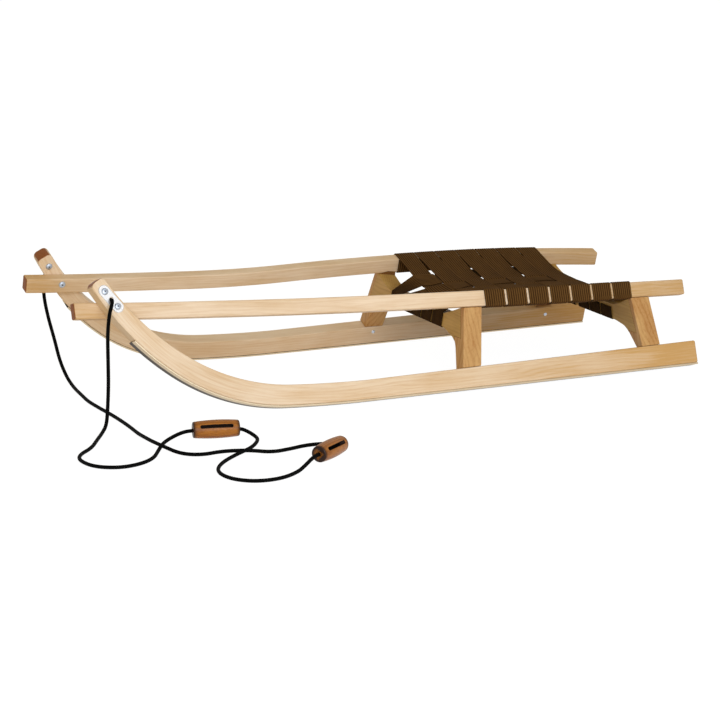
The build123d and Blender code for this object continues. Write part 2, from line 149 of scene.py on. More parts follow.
# Real length of each stretch of the rope and the grip that it goes into
ROPES = {
    "tow_rope_left": (0.746, "rope_grip_1"),
    "tow_rope_middle": (0.557, "rope_grip_2"),
    "tow_rope_right": (1.050, None),
}

# Values that are the scene's own. The sides are as side_place counts them
SIDES = {"left": 1, "right": -1}
# Steps along a runner, longer on its straight
RUNNER_STRAIGHT = (0.03, 0.57)
LONG_STEP = 0.024
SHORT_STEP = 0.0075
RUNNER_EDGE = 0.0020
RUNNER_REAR_RADIUS = 0.0028
STRIP_EDGE = 0.0008
RAIL_EDGE = 0.0024
RAIL_STEPS = 80
PLANK_EDGE = 0.0014
# A solid's points this close are joined, its flat edges dissolved and its sharp ones rounded
JOIN_REACH = 0.00002
FLAT = radians(1.5)
SHARP = radians(32)
# Where a crosspiece's wood begins in the grain's own measure
CROSSPIECE_GRAIN = 7.0
GRIP_EDGE = 0.0022
# How far in from a grip's ends its wood is darker
GRIP_END_FADE = 0.006
GRIP_STEPS = 28
GRIP_AROUND = 56
ROPE_AROUND = 32
ROPE_STEPS = 30
BRAID_CELLS = 8
BRAID_PITCH = 0.0046
SLOT_AROUND = 24
# How far the cuts of a grip's slot and bore reach from its middle
SLOT_CUT = 0.02
BORE_CUT = 0.06
CREASE = radians(40)
BOLT_HEAD = 0.0055
BOLT_NUT = 0.0057
BOLT_SHANK = 0.003
BOLT_AROUND = 40
# Domes of the head and the nut, from the rim: share of the radius, and rise. Both end in a tip
HEAD_DOME = [(1.0, 0.0), (1.0, 0.0005), (0.96, 0.0012), (0.8, 0.0020), (0.45, 0.0025)]
NUT_DOME = [(1.0, 0.0), (1.0, 0.0004), (0.97, 0.0011), (0.8, 0.0021), (0.45, 0.0028)]
HEAD_RISE = 0.0026
NUT_RISE = 0.003
TIP_RADIUS = 0.0006
RECESS_SIZES = (0.0044, 0.0010)
HEAD_RECESS = (0.0016, 0.006)
NUT_RECESS = (-0.006, -0.0020)
# Radius and place outwards of a screw's domed head, from its foot
SCREW_PROFILE = [(0.0032, -0.0004), (0.0032, 0.0002), (0.0027, 0.0007), (0.0016, 0.0010),
                 (0.0004, 0.0011)]
SCREW_AROUND = 20
# Ribs across a strap, steps to a rib, and steps across the seat, a strap, a gap and a fold
RIBS = 9
RIB_STEPS = 4
SEAT_STEPS = 120
STRAP_STEPS = 9
GAP_STEPS = 5
TURN_STEPS = 5
# Repeats of the yarn along and across the webbing, and of the rings in the grips' wood
YARN_LENGTH = 0.0016
YARN_WIDTH = 0.0011
GRIP_RING = 0.0042
# Where the gaps between cross straps close, measured across the sled: beside the rails, and for
# three of the gaps only further in on the right
RAIL_CLOSING = (-0.150, -0.136)
SLITS = {0: (-0.080, -0.052), 2: (-0.084, -0.066), 4: (-0.096, -0.082)}
SLIT_HALF = 0.0019
# The straps lie closer on the right rail, and two of the slits are narrower beside it
RIGHT_HALF = 0.0011
RIGHT_FADE = 0.014
NARROW_SLITS = (2, 4)
NARROW_HALF = 0.00125
NARROW_PLACES = (-0.106, -0.098)
# How far the first two lengthwise straps stray to the right, and where that starts and is full
STRAYS = (0.026, 0.012)
STRAY_PLACES = (0.345, 0.315)
# Painted shade: the lengthwise straps are darker on the crosspieces, where shade falls under the
# seat and the rails, fading in over a few steps
WRAP_PAINTED_SHADE = 0.3
PAINTED_SHADE_STEPS = 6

# Camera: azimuth and elevation in degrees, distance, and the point that it looks at
CAMERA_PLACE = (155.08, 13.17, 4.84906)
CAMERA_AIM = (-0.00711, 0.0, 0.02253)
CAMERA_LENS = 143.0
CAMERA_SENSOR = 36.0
# Lamps: azimuth, elevation, distance, size, power, colour
LAMPS = {
    "key": (166.0, 13.0, 4.0, 3.0, 104.0, (0.94, 1.0, 1.12)),
    "top": (150.0, 62.0, 3.0, 1.8, 1.0, (1.0, 1.0, 1.0)),
}
LAMP_AIM = (0.0, 0.0, 0.1)
FLOOR_REACH = 30.0
# The floor as the sled is lit by it, and as the camera sees it: a faint shadow under its own white
FLOOR_COLOUR = (0.80, 0.66, 0.42, 1.0)
FLOOR_SHADOW = (0.17, 0.19, 0.22, 1.0)
FLOOR_WHITE = 0.96
WORLD_COLOUR = (1.0, 0.80, 0.46, 1.0)
WORLD_STRENGTH = 0.43

# How far from its two ends the wood begins to darken with painted shade, and how dark the horn's
# painted shadow makes it at the front
REAR_PAINTED_SHADE_FADE = 0.45
FRONT_PAINTED_SHADOW_FADE = 0.15
FRONT_PAINTED_SHADOW_SHARE = 0.55
# A run beyond the end of any wood, for wood without a painted shadow at the front
BEYOND = 9.0
# Colours as they show on screen, 0 to 255. Woods: light, dark, cut across its fibres
PALE_END = (150, 84, 16)
RUNNER_COLOURS = ((243, 226, 203), (210, 170, 112), PALE_END)
RAIL_COLOURS = ((244, 226, 203), (208, 171, 118), PALE_END)
YOKE_COLOURS = ((204, 168, 98), (148, 108, 48), (120, 78, 30))
LEG_COLOURS = ((214, 176, 120), (162, 100, 40), (130, 84, 36))
GRIP_COLOURS = ((174, 112, 44), (100, 46, 10), (36, 15, 4))
# Others: dark, light
WEBBING_COLOURS = ((29, 15, 4), (122, 89, 49))
ROPE_COLOURS = ((1, 1, 1), (5, 5, 4))
# Painted shade inside the cross recesses and the grips' slots and bores
RECESS_PAINTED_SHADE_COLOURS = ((30, 17, 10), (58, 33, 18))
PLATE_COLOURS = ((190, 189, 187), (220, 216, 210))
BOLT_COLOURS = ((148, 155, 164), (206, 212, 219))
# The running strip: painted shade for its underside, painted highlight for its sides and the outer
# half of its underside
STRIP_PAINTED_SHADE = ((36, 25, 14), (70, 54, 36))
STRIP_PAINTED_HIGHLIGHT = ((186, 164, 130), (222, 204, 174))


def place_around(thing, aim, azimuth, elevation, distance):
    """Puts a camera or lamp at an angle to the sled, and turns it to a point there."""
    turn, rise = radians(azimuth), radians(elevation)
    back = Vector((sin(turn) * cos(rise), -cos(turn) * cos(rise), sin(rise)))
    thing.location = Vector(aim) + back * distance
    thing.rotation_euler = (-back).to_track_quat("-Z", "Y").to_euler()


def make_camera():
    data = bpy.data.cameras.new("camera")
    data.sensor_width = CAMERA_SENSOR
    data.lens = CAMERA_LENS
    camera = bpy.data.objects.new("camera", data)
    scene.collection.objects.link(camera)
    place_around(camera, CAMERA_AIM, *CAMERA_PLACE)
    scene.camera = camera


# Materials

def linear(colour):
    """A colour written as it shows on screen, as the shader's linear values."""
    values = []
    for value in colour:
        share = value / 255
        values.append(share / 12.92 if share <= 0.04045 else ((share + 0.055) / 1.055) ** 2.4)
    return (*values, 1.0)


class Tree:
    """Short ways to add nodes to a node tree."""

    def __init__(self, tree):
        self.nodes, self.links = tree.nodes, tree.links

    def node(self, kind, inputs=(), **settings):
        made = self.nodes.new(kind)
        for label, value in settings.items():
            setattr(made, label, value)
        for place, value in dict(inputs).items():
            if isinstance(value, bpy.types.NodeSocket):
                self.links.new(value, made.inputs[place])
            else:
                made.inputs[place].default_value = value
        return made

    def math(self, operation, first, second=0.0, third=0.0, clamp=False):
        inputs = {0: first, 1: second, 2: third}
        made = self.node("ShaderNodeMath", inputs, operation=operation, use_clamp=clamp)
        return made.outputs[0]

    def choose(self, output, lighting, shown):
        """Ends the tree with one look that lights the sled and another that the camera sees."""
        path = self.node("ShaderNodeLightPath").outputs
        seen = self.math("MAXIMUM", path["Is Camera Ray"], path["Is Glossy Ray"])
        choice = self.node("ShaderNodeMixShader", {0: seen, 1: lighting, 2: shown}).outputs[0]
        self.node(output, {"Surface": choice})


class Shader(Tree):
    """A new material, with short ways to build its surface."""

    def __init__(self, name, **settings):
        self.material = bpy.data.materials.new(name)
        self.material.use_nodes = True
        super().__init__(self.material.node_tree)
        self.surface = self.nodes["Principled BSDF"]
        for label, value in settings.items():
            self.surface.inputs[label.replace("_", " ")].default_value = value

    def add(self, value, factor, rest, clamp=False):
        """The value times the factor, plus the rest."""
        return self.math("MULTIPLY_ADD", value, factor, rest, clamp)

    def centred(self, value, factor, rest, clamp=False):
        """As add, for a value that swings about one half."""
        return self.add(self.math("SUBTRACT", value, 0.5), factor, rest, clamp)

    def attribute(self, name, output="Vector"):
        return self.node("ShaderNodeAttribute", attribute_name=name).outputs[output]

    def parts(self, vector):
        return self.node("ShaderNodeSeparateXYZ", {0: vector}).outputs

    def noise(self, vector, scale, detail, roughness=0.5):
        inputs = {0: vector, 1: scale}
        scaled = self.node("ShaderNodeVectorMath", inputs, operation="MULTIPLY").outputs[0]
        inputs = {"Vector": scaled, "Scale": 1.0, "Detail": detail, "Roughness": roughness}
        return self.node("ShaderNodeTexNoise", inputs).outputs["Fac"]

    def wave(self, turns):
        """A sine between 0 and 1."""
        return self.add(self.math("SINE", turns), 0.5, 0.5)

    def ramp(self, value, low, high):
        inputs = {"Value": value, "From Min": low, "From Max": high}
        made = self.node("ShaderNodeMapRange", inputs, interpolation_type="SMOOTHSTEP")
        return made.outputs[0]

    def mix(self, share, first, second):
        made = self.node("ShaderNodeMix", {"Factor": share, 6: first, 7: second},
                         data_type="RGBA")
        return made.outputs[2]

    def bump(self, height, distance, strength):
        inputs = {"Height": height, "Distance": distance, "Strength": strength}
        normal = self.node("ShaderNodeBump", inputs).outputs["Normal"]
        self.feed("Normal", normal)

    def feed(self, label, value):
        self.links.new(value, self.surface.inputs[label])


def wood(name, colours, ring=0.0052, ring_share=0.15, rear_run=0.0, rear_painted_shade=0.0,
         front_run=BEYOND):
    """Varnished wood. The grain attribute holds places along and across its fibres.

    The ring is the distance between two year rings. Towards its rear run a painted shade darkens
    the wood by the rear share, and towards its front run the horn's painted shadow darkens it by
    the front share.
    """
    light, dark, end = (linear(colour) for colour in colours)
    shader = Shader(name, Coat_Weight=0.04, Coat_Roughness=0.25, Specular_IOR_Level=0.22)
    grain = shader.attribute("grain")
    parts = shader.parts(grain)
    drift = shader.noise(grain, (5.0, 28.0, 28.0), detail=2.0)
    across = shader.add(parts[1], 0.8, shader.math("MULTIPLY", parts[2], 1.25))
    place = shader.add(drift, 4.5 * ring, across)
    turns = shader.math("MULTIPLY", place, 2 * pi / ring)
    rings = shader.math("POWER", shader.wave(turns), 2.2)
    streaks = shader.ramp(shader.noise(grain, (22.0, 700.0, 700.0), detail=3.0), 0.46, 0.72)
    pores = shader.ramp(shader.noise(grain, (90.0, 2600.0, 2600.0), detail=1.0), 0.60, 0.74)
    cloud = shader.ramp(shader.noise(grain, (7.0, 34.0, 34.0), detail=3.0), 0.30, 0.72)
    # Painted shade towards the rear end, and the horn's painted shadow towards the front end
    rear = shader.ramp(parts[0], rear_run + REAR_PAINTED_SHADE_FADE, rear_run)
    front = shader.ramp(parts[0], front_run - FRONT_PAINTED_SHADOW_FADE, front_run)
    depth = shader.math("MULTIPLY", rings, ring_share)
    for share, weight in ((streaks, 0.24), (pores, 0.14), (cloud, 0.40), (rear, rear_painted_shade)):
        depth = shader.add(share, weight, depth)
    depth = shader.add(front, FRONT_PAINTED_SHADOW_SHARE, depth, clamp=True)
    end_rings = shader.add(rings, 0.55, shader.math("MULTIPLY", pores, 0.4))
    end_dark = tuple(value * 0.45 for value in end[:3]) + (1.0,)
    cut = shader.attribute("end", "Fac")
    colour = shader.mix(cut, shader.mix(depth, light, dark), shader.mix(end_rings, end, end_dark))
    shader.feed("Base Color", colour)
    shader.feed("Roughness", shader.add(depth, 0.16, 0.42))
    shader.bump(shader.add(streaks, -0.4, shader.math("MULTIPLY", pores, -1.0)), 0.00012, 0.7)
    return shader.material


def make_webbing():
    shader = Shader("webbing", Roughness=0.92, Specular_IOR_Level=0.06, Sheen_Weight=0.02,
                    Sheen_Roughness=0.5, Sheen_Tint=(0.55, 0.42, 0.28, 1.0))
    weave = shader.attribute("weave")
    parts = shader.parts(weave)
    yarn = shader.math("SINE", shader.math("MULTIPLY", parts[0], 2 * pi / YARN_LENGTH))
    side = shader.math("SINE", shader.math("MULTIPLY", parts[1], 2 * pi / YARN_WIDTH))
    cross = shader.math("MULTIPLY", yarn, side)
    fuzz = shader.noise(weave, (900.0, 1500.0, 1.0), detail=3.0)
    patches = shader.noise(weave, (14.0, 40.0, 1.0), detail=3.0)
    # The weave's third value is painted shade: dark between the ribs, at the selvedges and on the
    # crosspiece turns
    light = shader.add(cross, 0.10, parts[2])
    light = shader.centred(patches, 0.5, light)
    light = shader.centred(fuzz, 0.5, light, clamp=True)
    shader.feed("Base Color", shader.mix(light, *map(linear, WEBBING_COLOURS)))
    shader.bump(shader.add(cross, 0.5, fuzz), 0.0002, 0.8)
    return shader.material


def make_rope_material():
    shader = Shader("rope", Roughness=0.80, Specular_IOR_Level=0.06, Sheen_Weight=0.01,
                    Sheen_Roughness=0.4)
    braid = shader.attribute("braid")
    fuzz = shader.noise(braid, (1400.0, 5.0, 0.0), detail=3.0)
    # Painted shade in the grooves between the braid's strands
    light = shader.centred(fuzz, 0.6, shader.parts(braid)[2], clamp=True)
    shader.feed("Base Color", shader.mix(light, *map(linear, ROPE_COLOURS)))
    shader.bump(fuzz, 0.00012, 0.6)
    return shader.material


def metal(name, colours):
    """Bare steel, a little uneven in colour and shine."""
    shader = Shader(name, Metallic=1.0)
    grain = shader.attribute("grain")
    lines = shader.noise(grain, (300.0, 300.0, 300.0), detail=4.0, roughness=0.6)
    cloud = shader.noise(grain, (60.0, 60.0, 60.0), detail=3.0)
    share = shader.add(lines, 0.6, shader.math("MULTIPLY", cloud, 0.5), clamp=True)
    shader.feed("Base Color", shader.mix(share, *map(linear, colours)))
    shader.feed("Roughness", shader.add(lines, 0.2, 0.36))
    shader.bump(lines, 0.00004, 0.5)
    return shader.material


def make_strip_steel():
    """Dull steel painted dark brown for the shade on its underside, with a painted highlight on its
    sides and on the outer half of its underside.
    """
    shader = Shader("strip_steel", Metallic=1.0)
    grain = shader.attribute("grain")
    half = RUNNER_WIDTH / 2
    out = shader.parts(grain)[2]
    off_middle = shader.math("ABSOLUTE", shader.math("SUBTRACT", out, half))
    side = shader.ramp(off_middle, half - 0.0009, half - 0.0002)
    outer = shader.ramp(out, 0.50 * RUNNER_WIDTH, 0.58 * RUNNER_WIDTH)
    lines = shader.noise(grain, (30.0, 900.0, 900.0), detail=4.0, roughness=0.6)
    # Painted shade on the underside; painted highlight and reflection on the sides and the outer
    # half of the underside
    dark, painted_highlight = (shader.mix(lines, *map(linear, colours))
                    for colours in (STRIP_PAINTED_SHADE, STRIP_PAINTED_HIGHLIGHT))
    painted_highlight_mask = shader.math("MAXIMUM", side, outer)
    shader.feed("Base Color", shader.mix(painted_highlight_mask, dark, painted_highlight))
    shader.feed("Roughness", shader.add(lines, 0.25, 0.34))
    shader.bump(lines, 0.00004, 0.5)
    return shader.material


def make_grip_wood():
    light, dark, end = (linear(colour) for colour in GRIP_COLOURS)
    shader = Shader("grip_wood", Coat_Weight=0.05, Coat_Roughness=0.2, Specular_IOR_Level=0.2)
    grain = shader.attribute("grain")
    drift = shader.noise(grain, (12.0, 70.0, 70.0), detail=3.0)
    across = shader.math("MULTIPLY", shader.parts(grain)[1], 2 * pi / GRIP_RING)
    rings = shader.wave(shader.add(drift, 14.0, across))
    pores = shader.ramp(shader.noise(grain, (120.0, 1900.0, 1900.0), detail=2.0), 0.5, 0.72)
    depth = shader.add(pores, 0.45, shader.math("MULTIPLY", rings, 0.4), clamp=True)
    cut = shader.attribute("end", "Fac")
    shader.feed("Base Color", shader.mix(cut, shader.mix(depth, light, dark), end))
    shader.feed("Roughness", shader.add(depth, 0.2, 0.32))
    shader.bump(pores, 0.0001, 0.6)
    return shader.material


# Painted shade for the insides of recesses, slots and bores
def make_recess_painted_shade():
    shader = Shader("recess_painted_shade", Roughness=0.7)
    patches = shader.noise(shader.attribute("grain"), (300.0, 300.0, 300.0), detail=2.0)
    shader.feed("Base Color", shader.mix(patches, *map(linear, RECESS_PAINTED_SHADE_COLOURS)))
    return shader.material


def make_materials():
    return {
        # The runners and rails darken towards the rear with painted shade, and the rails towards
        # the front with the horn's painted shadow
        "runner_wood": wood("runner_wood", RUNNER_COLOURS, rear_painted_shade=0.65),
        "rail_wood": wood("rail_wood", RAIL_COLOURS, rear_run=RAIL_GRAIN, rear_painted_shade=0.45,
                          front_run=RAIL_GRAIN + RAIL_LENGTH),
        "yoke_wood": wood("yoke_wood", YOKE_COLOURS),
        "leg_wood": wood("leg_wood", LEG_COLOURS, ring=0.010, ring_share=0.22),
        "grip_wood": make_grip_wood(),
        "webbing": make_webbing(),
        "rope": make_rope_material(),
        "strip_steel": make_strip_steel(),
        "plate_metal": metal("plate_metal", PLATE_COLOURS),
        "bolt_steel": metal("bolt_steel", BOLT_COLOURS),
        "recess_painted_shade": make_recess_painted_shade(),
    }


# Meshes

def smooth(share):
    """An even rise from 0 to 1, flat beyond both ends."""
    share = min(max(share, 0.0), 1.0)
    return share * share * (3 - 2 * share)


def new_mesh(name, points, faces, **layers):
    """A smooth mesh, its faces turned outwards, with one attribute for each named layer."""
    mesh = bpy.data.meshes.new(name)
    mesh.from_pydata([tuple(point) for point in points], [], faces)
    for label, values in layers.items():
        if isinstance(values[0], float):
            layer = mesh.attributes.new(label, "FLOAT", "POINT")
            layer.data.foreach_set("value", values)
        else:
            layer = mesh.attributes.new(label, "FLOAT_VECTOR", "POINT")
            layer.data.foreach_set("vector", [part for value in values for part in value])
    shape = bmesh.new()
    shape.from_mesh(mesh)
    bmesh.ops.recalc_face_normals(shape, faces=shape.faces)
    shape.to_mesh(mesh)
    shape.free()
    for face in mesh.polygons:
        face.use_smooth = True
    return mesh


def new_piece(name, mesh, slot, *nodes):
    """A piece of the sled that rides on its body and stands for CAD nodes."""
    piece = bpy.data.objects.new(name, mesh)
    scene.collection.objects.link(piece)
    mesh.materials.clear()
    mesh.materials.append(MATERIALS[slot])
    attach(piece, "root")
    if nodes:
        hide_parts(*nodes)
    return piece


def weigh_normals(piece):
    """Flat faces stay flat, and the narrow rounded edges take the bend of the light."""
    modifier = piece.modifiers.new("weighted", "WEIGHTED_NORMAL")
    modifier.mode = "FACE_AREA"
    modifier.keep_sharp = False


def mark_ends(mesh, along):
    """Marks the faces where the wood is cut across its fibres. `along` gives their direction."""
    grain = mesh.attributes["grain"].data
    ends = mesh.attributes.new("end", "FLOAT", "FACE")
    for face in mesh.polygons:
        places = [grain[vertex].vector for vertex in face.vertices]
        middle = sum((place[0] for place in places)) / len(places)
        cut = abs(face.normal.dot(along(middle)))
        ends.data[face.index].value = smooth((cut - 0.45) / 0.35)


def ring_faces(rows, count):
    """The faces between closed rings of points, each ring with the same count."""
    faces = []
    for row in range(rows - 1):
        for column in range(count):
            following = (column + 1) % count
            faces.append((row * count + column, row * count + following,
                          (row + 1) * count + following, (row + 1) * count + column))
    return faces


def rings_mesh(name, rings, **layers):
    """A mesh through closed rings of equal count, with a face at each end."""
    count = len(rings[0])
    faces = ring_faces(len(rings), count)
    faces.append(tuple(range(count)))
    faces.append(tuple(range((len(rings) - 1) * count, len(rings) * count)))
    return new_mesh(name, [point for ring in rings for point in ring], faces, **layers)


def turned_mesh(name, profile, centre, axis, first, around):
    """A turned shape. Its profile gives radii and places along the axis."""
    second = axis.cross(first)
    rings, grain = [], []
    for radius, out in profile:
        ring = []
        for step in range(around):
            angle = step / around * 2 * pi
            ring.append(centre + axis * out + (first * cos(angle) + second * sin(angle)) * radius)
            grain.append((radius, angle / 100, out))
        rings.append(ring)
    return rings_mesh(name, rings, grain=grain)


def round_rows(length, edge):
    """Places along a piece and how far its section draws in there, round at both ends."""
    rows = []
    for step in range(4):
        angle = step / 3 * pi / 2
        rows.append((edge * (1 - cos(angle)), edge * (1 - sin(angle))))
    return rows, [(length - place, inset) for place, inset in reversed(rows)]


def round_box(low, high, edge, inset):
    """A rectangle with rounded corners: points in order, drawn in by `inset`."""
    points = []
    radius = max(edge - inset, edge * 0.15)
    corners = [(high[0], high[1]), (low[0], high[1]), (low[0], low[1]), (high[0], low[1])]
    for quarter, (across, up) in enumerate(corners):
        toward_across = -1 if quarter in (0, 3) else 1
        toward_up = -1 if quarter in (0, 1) else 1
        middle_across = across + toward_across * (inset + radius)
        middle_up = up + toward_up * (inset + radius)
        for step in range(4):
            angle = (quarter + step / 3) * pi / 2
            points.append((middle_across + radius * cos(angle), middle_up + radius * sin(angle)))
    return points


def side_place(x, up, out, side):
    """A point of the leaning side frame. `side` is 1 on the rider's left and -1 on the right."""
    across = STANCE_HALF + out * cos(LEAN) - up * sin(LEAN)
    return Vector((x - HALF_LENGTH, side * across, out * sin(LEAN) + up * cos(LEAN)))


# Runners and running strips

RUNNER_RUN = sum(stretch[0] for stretch in RUNNER_STRETCHES)


def runner_at(run):
    """Place and heading of the underside of the wood, and the wood's height, at a run along it."""
    x, up, heading, height = 0.0, STRIP_THICKNESS, 0.0, RUNNER_REAR_HEIGHT
    for length, radius, middle, end in RUNNER_STRETCHES:
        part = min(run, length)
        if radius:
            turn = part / radius
            x += radius * (sin(heading + turn) - sin(heading))
            up += radius * (cos(heading) - cos(heading + turn))
            heading += turn
        else:
            x += part * cos(heading)
            up += part * sin(heading)
        share = part / length
        if radius:
            height = (height * (1 - share) * (1 - 2 * share) + 4 * middle * share * (1 - share)
                      + end * share * (2 * share - 1))
        else:
            height = height + (end - height) * share
        run -= part
        if run <= 0:
            break
    return x, up, heading, height


def runner_point(run, rise):
    """Side-frame x and up of a point `rise` above the underside of the wood."""
    x, up, heading, _ = runner_at(run)
    return x - rise * sin(heading), up + rise * cos(heading)


def runner_stations(start, end):
    """Places along the runner, close together where it bends and near its ends."""
    stations = [start]
    while stations[-1] < end:
        straight = RUNNER_STRAIGHT[0] < stations[-1] < RUNNER_STRAIGHT[1]
        stations.append(stations[-1] + (LONG_STEP if straight else SHORT_STEP))
    stations[-1] = end
    return stations


def arc_points(centre, radius, start, steps=6):
    """Points of a quarter turn in the plane of run and rise, without its two ends."""
    points = []
    for step in range(1, steps):
        angle = start + step / steps * pi / 2
        points.append((centre[0] + radius * cos(angle), centre[1] + radius * sin(angle)))
    return points


def make_runner(node, side):
    """The bent wood: its outline from the side, drawn in at both faces for rounded edges."""
    name = f"{node}_wood"
    tip, rear_height, rear_radius = RUNNER_RUN, RUNNER_REAR_HEIGHT, RUNNER_REAR_RADIUS
    tip_height = runner_at(tip)[3]
    stations = runner_stations(rear_radius, tip - HORN_FRONT_RADIUS)
    bottom = [(run, 0.0) for run in stations]
    top = [(run, runner_at(run)[3]) for run in reversed(stations)]
    front = arc_points((tip - HORN_FRONT_RADIUS, HORN_FRONT_RADIUS), HORN_FRONT_RADIUS, -pi / 2)
    front.append((tip, HORN_FRONT_RADIUS))
    front.append((tip, tip_height - HORN_REAR_RADIUS))
    centre = (tip - HORN_REAR_RADIUS, tip_height - HORN_REAR_RADIUS)
    front += arc_points(centre, HORN_REAR_RADIUS, 0)
    rear = arc_points((rear_radius, rear_height - rear_radius), rear_radius, pi / 2, 3)
    rear.append((0.0, rear_height - rear_radius))
    rear.append((0.0, rear_radius))
    rear += arc_points((rear_radius, rear_radius), rear_radius, pi, 3)
    outline = bottom + front + top + rear
    flat = [Vector(runner_point(run, rise)) for run, rise in outline]
    normals = []
    for index in range(len(flat)):
        along = flat[(index + 1) % len(flat)] - flat[index - 1]
        normals.append(Vector((along.y, -along.x)).normalized())
    first, last = round_rows(RUNNER_WIDTH, RUNNER_EDGE)
    rows = first + last
    points, grain = [], []
    for out, inset in rows:
        for (run, rise), place, normal in zip(outline, flat, normals):
            moved = place - normal * inset
            points.append(side_place(moved.x, moved.y, out, side))
            grain.append((run, rise, out))
    count = len(outline)
    faces = ring_faces(len(rows), count)
    last_top = len(bottom) + len(front) + len(top) - 1
    for row in (0, len(rows) - 1):
        start = row * count
        for step in range(len(bottom) - 1):
            faces.append((start + step, start + step + 1, start + last_top - step - 1,
                          start + last_top - step))
        turn = start + len(bottom) - 1
        faces.append(tuple(range(turn, turn + len(front) + 2)))
        faces.append(tuple(start + index % count for index in range(last_top, count + 1)))
    mesh = new_mesh(name, points, faces, grain=grain)

    def along(run):
        heading = runner_at(run)[2]
        return side_place(cos(heading), sin(heading), 0, side) - side_place(0, 0, 0, side)

    mark_ends(mesh, along)
    weigh_normals(new_piece(name, mesh, "runner_wood", node))


def make_strip(node, side):
    """The steel under a runner's wood."""
    name = f"{node}_bent"
    first, last = round_rows(STRIP_RUN, STRIP_EDGE)
    body = [(run, 0.0) for run in runner_stations(first[-1][0], last[0][0])[1:-1]]
    rings, grain = [], []
    for run, inset in first + body + last:
        ring = []
        section = round_box((0.0, -STRIP_THICKNESS), (RUNNER_WIDTH, 0.0), STRIP_EDGE, inset)
        for out, rise in section:
            x, up = runner_point(run, rise)
            ring.append(side_place(x, up, out, side))
            grain.append((run, rise, out))
        rings.append(ring)
    mesh = rings_mesh(name, rings, grain=grain)
    weigh_normals(new_piece(name, mesh, "strip_steel", node))


# Seat rails

def arc_drop(distance, radius):
    """How far an arc falls away from its tangent at a distance along it."""
    return radius - sqrt(radius**2 - distance**2)


RAIL_SWEEP = 2 * atan(RAIL_BULGE / (RAIL_TOUCH_X - RAIL_BULGE_X))
RAIL_TURN_RADIUS = (RAIL_TOUCH_X - RAIL_TURN_X) / sin(RAIL_SWEEP)
RAIL_BULGE_RADIUS = (RAIL_TURN_X - RAIL_BULGE_X) / sin(RAIL_SWEEP)
RAIL_REAR_RADIUS = RAIL_BULGE_X / sin(2 * atan(RAIL_REAR_INSET / RAIL_BULGE_X))
RAIL_RISE_RADIUS = RAIL_RISE_X / (sin(RAIL_MID_SLOPE) - sin(RAIL_REAR_SLOPE))
RAIL_LIFT_RADIUS = (RAIL_LENGTH - RAIL_LIFT_X) / (sin(RAIL_FRONT_SLOPE) - sin(RAIL_MID_SLOPE))


def rail_outside(x):
    """How far the rail's outer face stands outside the runner's inner face."""
    if x > RAIL_TOUCH_X:
        return -SEAT_GAP
    if x > RAIL_TURN_X:
        return arc_drop(RAIL_TOUCH_X - x, RAIL_TURN_RADIUS) - SEAT_GAP
    if x > RAIL_BULGE_X:
        return RAIL_BULGE - SEAT_GAP - arc_drop(x - RAIL_BULGE_X, RAIL_BULGE_RADIUS)
    return RAIL_BULGE - SEAT_GAP - arc_drop(RAIL_BULGE_X - x, RAIL_REAR_RADIUS)


def rail_top(x):
    """Height of the rail's top in the side frame."""
    def slope(start, distance, radius):
        rise = sin(start) + distance / radius
        return atan(rise / sqrt(1 - rise**2))

    angle = slope(RAIL_REAR_SLOPE, min(x, RAIL_RISE_X), RAIL_RISE_RADIUS)
    height = RAIL_REAR_TOP + RAIL_RISE_RADIUS * (cos(RAIL_REAR_SLOPE) - cos(angle))
    if x > RAIL_RISE_X:
        height += (min(x, RAIL_LIFT_X) - RAIL_RISE_X) * tan(RAIL_MID_SLOPE)
    if x > RAIL_LIFT_X:
        angle = slope(RAIL_MID_SLOPE, x - RAIL_LIFT_X, RAIL_LIFT_RADIUS)
        height += RAIL_LIFT_RADIUS * (cos(RAIL_MID_SLOPE) - cos(angle))
    return height


def make_rail(node, side):
    """A seat rail, bowed in plan and rising to the horn."""
    name = f"{node}_wood"
    first, last = round_rows(RAIL_LENGTH, RAIL_EDGE)
    start, length = first[-1][0], last[0][0] - first[-1][0]
    body = [(start + length * step / RAIL_STEPS, 0.0) for step in range(1, RAIL_STEPS)]
    rings, grain = [], []
    for x, inset in first + body + last:
        outside, top = rail_outside(x), rail_top(x)
        low = (outside - RAIL_WIDTH, top - RAIL_HEIGHT)
        section = round_box(low, (outside, top), RAIL_EDGE, inset)
        rings.append([side_place(x, up, out, side) for out, up in section])
        grain += [(x + RAIL_GRAIN, up - top, out - outside) for out, up in section]
    mesh = rings_mesh(name, rings, grain=grain)
    mark_ends(mesh, lambda run: Vector((1, 0, 0)))
    weigh_normals(new_piece(name, mesh, "rail_wood", node))


# Crosspieces and legs, planed from the shapes of their solids

def plank_up(end):
    """Direction up a yoke's plank, and its front face's direction."""
    tilt = CROSSPIECES[end][1]
    return Vector((-sin(tilt), 0, cos(tilt))), Vector((cos(tilt), 0, sin(tilt)))


